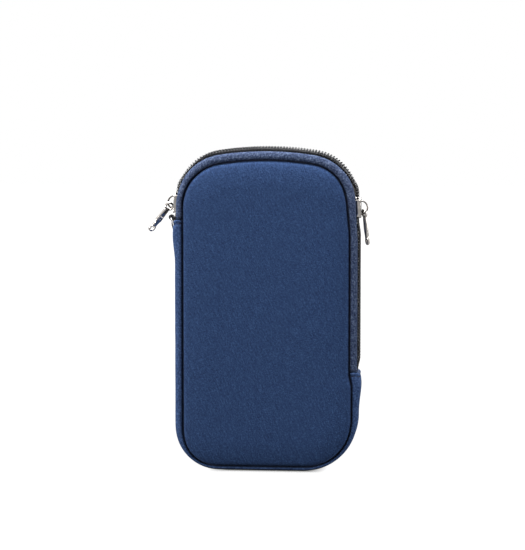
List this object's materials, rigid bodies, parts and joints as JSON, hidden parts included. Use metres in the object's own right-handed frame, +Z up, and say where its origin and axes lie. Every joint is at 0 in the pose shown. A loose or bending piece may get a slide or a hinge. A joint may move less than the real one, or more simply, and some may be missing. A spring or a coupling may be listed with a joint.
{
  "type": "phone sleeve",
  "caption": "Upright padded neoprene sleeve for a phone, opened over its top by a coil zip with sliders that meet, with a small strap ring at its side.",
  "frame": {"origin": "on the flat underside of the lower gusset, below the middle of the sleeve's width", "axes": "+Z up towards the mouth, the front panel faces -Y, +X is the viewer's right from the front, the side of the long zip"},
  "size_m": [0.1102, 0.022, 0.1603],
  "materials": {
    "panel_neoprene": "navy knit-faced neoprene",
    "band_neoprene": "navy knit-faced neoprene, coarser and greyer",
    "zip_tape": "black woven polyester tape",
    "zip_coil": "dark grey nylon monofilament",
    "binding_tape": "black knitted binding",
    "slider_nickel": "nickel-plated zinc casting, tumbled bright",
    "pull_nickel": "nickel-plated zinc casting, polished",
    "loop_webbing": "black narrow webbing",
    "ring_wire": "drawn steel wire"
  },
  "bodies": {
    "sleeve": {"front_panel": "panel_neoprene", "rear_panel": "panel_neoprene", "lower_gusset": "panel_neoprene", "front_zip_band": "band_neoprene", "rear_zip_band": "band_neoprene", "front_zip_tape": "zip_tape", "rear_zip_tape": "zip_tape", "front_zip_coil": "zip_coil", "rear_zip_coil": "zip_coil", "front_seam_binding": "binding_tape", "rear_seam_binding": "binding_tape", "strap_loop": "loop_webbing"},
    "right_slider": {"right_slider_body": "slider_nickel", "right_slider_crown": "slider_nickel"},
    "right_pull": {"right_pull": "pull_nickel"},
    "left_slider": {"left_slider_body": "slider_nickel", "left_slider_crown": "slider_nickel"},
    "left_pull": {"left_pull": "pull_nickel"},
    "strap_ring": {"strap_ring": "ring_wire"}
  },
  "joints": [
    {"name": "right_slider_travel", "type": "slide", "parent": "sleeve", "child": "right_slider", "axis": [0, 0, -1], "range_m": [0, 0.0756], "deforming": ["front_zip_coil", "rear_zip_coil", "front_zip_tape", "rear_zip_tape"]},
    {"name": "left_slider_travel", "type": "hinge", "parent": "sleeve", "child": "left_slider", "pos_m": [-0.0193, 0, 0.1301], "axis": [0, 1, 0], "range_deg": [0, 65]},
    {"name": "right_pull_swing", "type": "hinge", "parent": "right_slider", "child": "right_pull", "pos_m": [0.0463, 0, 0.1302], "axis": [0, -1, 0], "range_deg": [0, 80]},
    {"name": "left_pull_swing", "type": "hinge", "parent": "left_slider", "child": "left_pull", "pos_m": [-0.04621, 0, 0.13228], "axis": [0, 1, 0], "range_deg": [-1, 75]},
    {"name": "strap_ring_swing", "type": "hinge", "parent": "sleeve", "child": "strap_ring", "pos_m": [-0.0478, 0, 0.125], "axis": [0, 1, 0], "range_deg": [-1, 50]}
  ]
}
